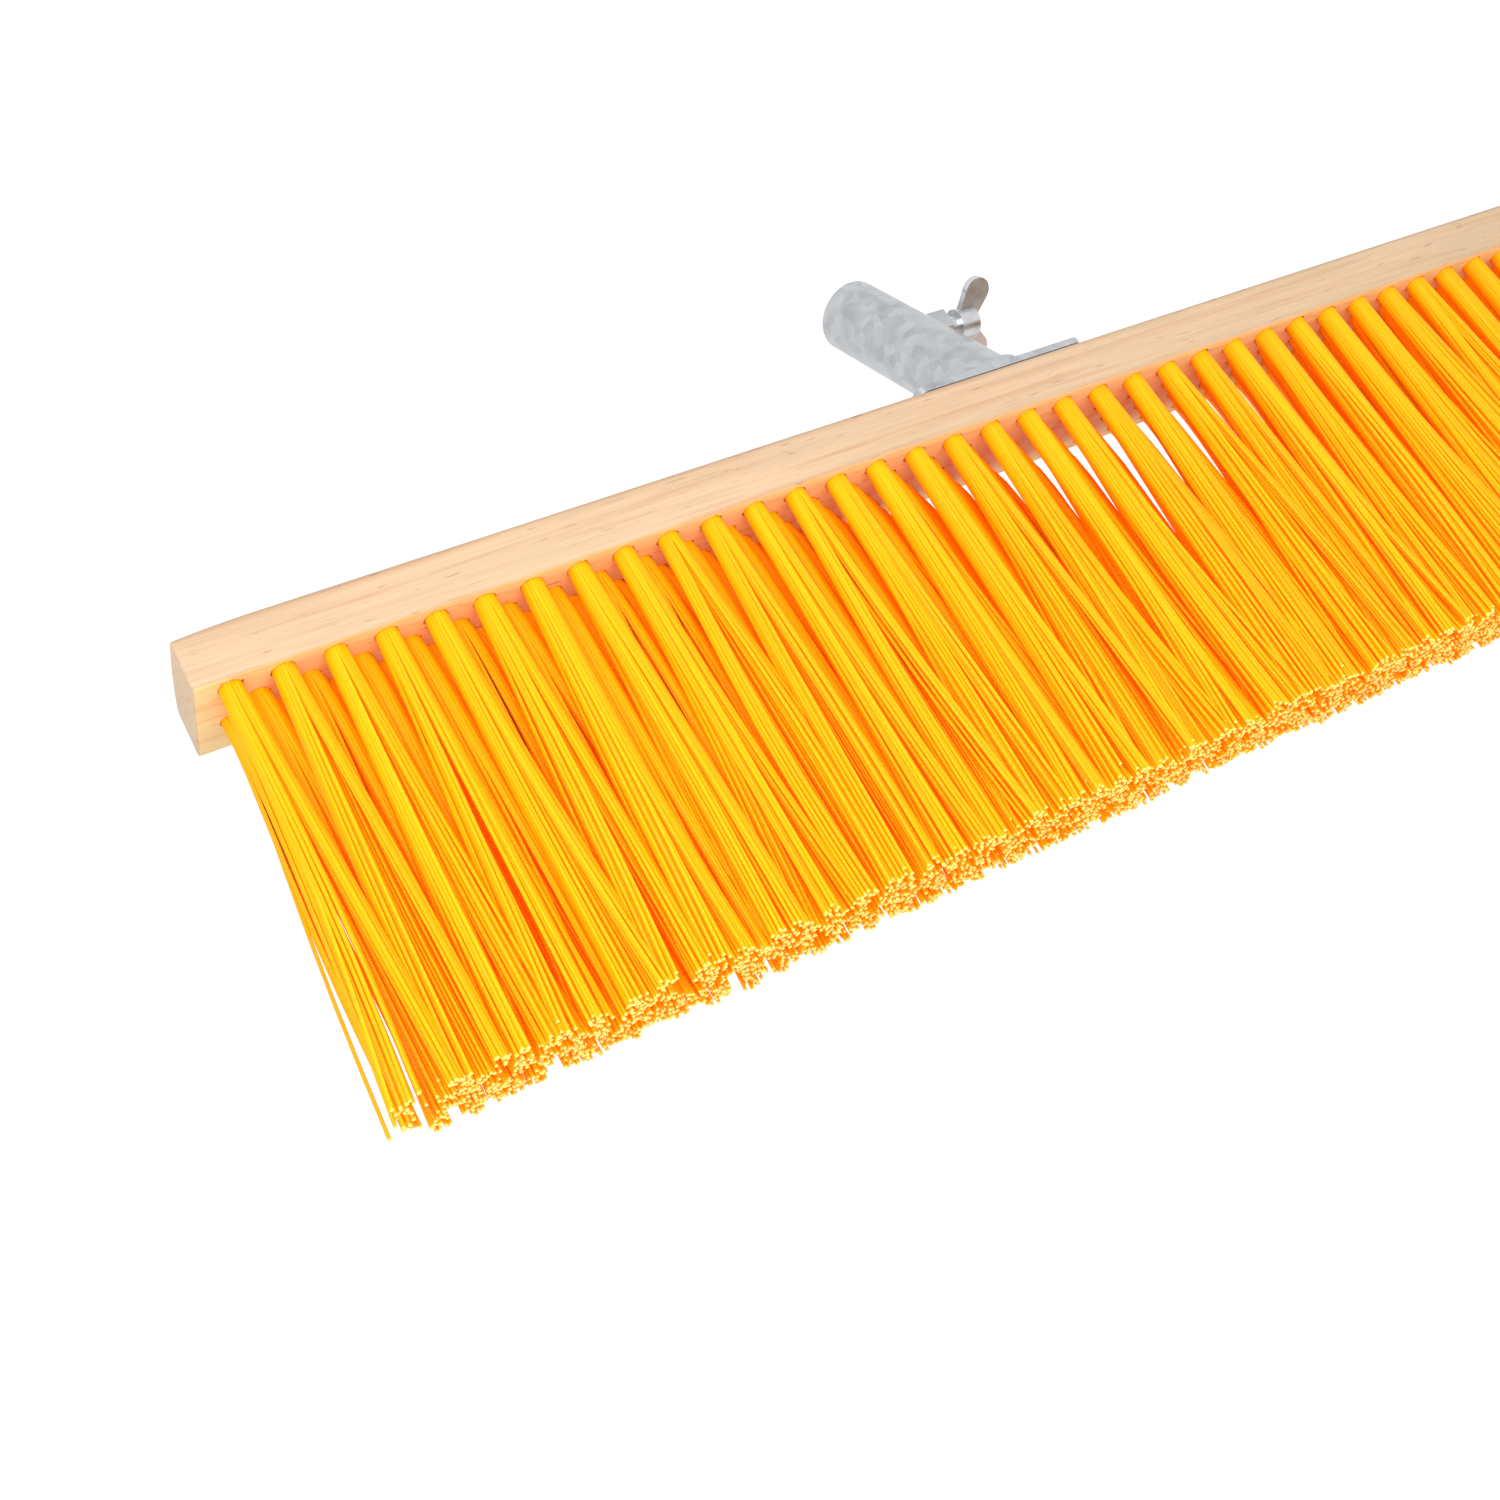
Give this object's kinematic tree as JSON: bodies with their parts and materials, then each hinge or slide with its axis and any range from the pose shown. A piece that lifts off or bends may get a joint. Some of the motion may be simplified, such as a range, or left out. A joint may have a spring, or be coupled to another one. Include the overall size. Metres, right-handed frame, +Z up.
{
  "type": "push broom head",
  "caption": "Push broom head: crowned wooden block, staggered rows of long stiff bristle tufts, and a steel handle holder with a wing screw.",
  "frame": {"origin": "on the handle socket's axis where the end of a handle seats, over the middle of the block", "axes": "+X along the block, +Y the way the handle leans, towards the user, +Z up; the bristles point down"},
  "size_m": [0.6, 0.0724, 0.237],
  "materials": {
    "wood": "sanded, bare softwood",
    "bristle": "translucent drawn filament, satin",
    "anchor_wire": "drawn flat wire",
    "holder_steel": "zinc plated",
    "screw_steel": "bright zinc plated",
    "brass": "turned"
  },
  "bodies": {
    "broom_head": {"head_block": "wood", "tufts_row_1_left": "bristle", "tufts_row_1_middle": "bristle", "tufts_row_1_right": "bristle", "tufts_row_2_left": "bristle", "tufts_row_2_middle": "bristle", "tufts_row_2_right": "bristle", "tufts_row_3_left": "bristle", "tufts_row_3_middle": "bristle", "tufts_row_3_right": "bristle", "tufts_row_4_left": "bristle", "tufts_row_4_middle": "bristle", "tufts_row_4_right": "bristle", "anchors_row_1": "anchor_wire", "anchors_row_2": "anchor_wire", "anchors_row_3": "anchor_wire", "anchors_row_4": "anchor_wire", "holder_plate": "holder_steel", "socket_tube": "holder_steel", "weld_nut": "holder_steel", "holder_screws": "screw_steel"},
    "clamp_pad": {"pressure_pad": "brass"},
    "clamp_screw": {"wing_screw": "screw_steel"}
  },
  "joints": [
    {"name": "pad_slide", "type": "slide", "parent": "broom_head", "child": "clamp_pad", "axis": [-1, 0, 0], "range_m": [0, 0.005]},
    {"name": "wing_screw_turn", "type": "hinge", "parent": "clamp_pad", "child": "clamp_screw", "pos_m": [0.02, 0.023, 0.03984], "axis": [-1, 0, 0], "range_deg": [0, 1440]}
  ],
  "couplings": [
    {"joint": "pad_slide", "follows": "wing_screw_turn", "m_per_rad": 0.00019894}
  ]
}
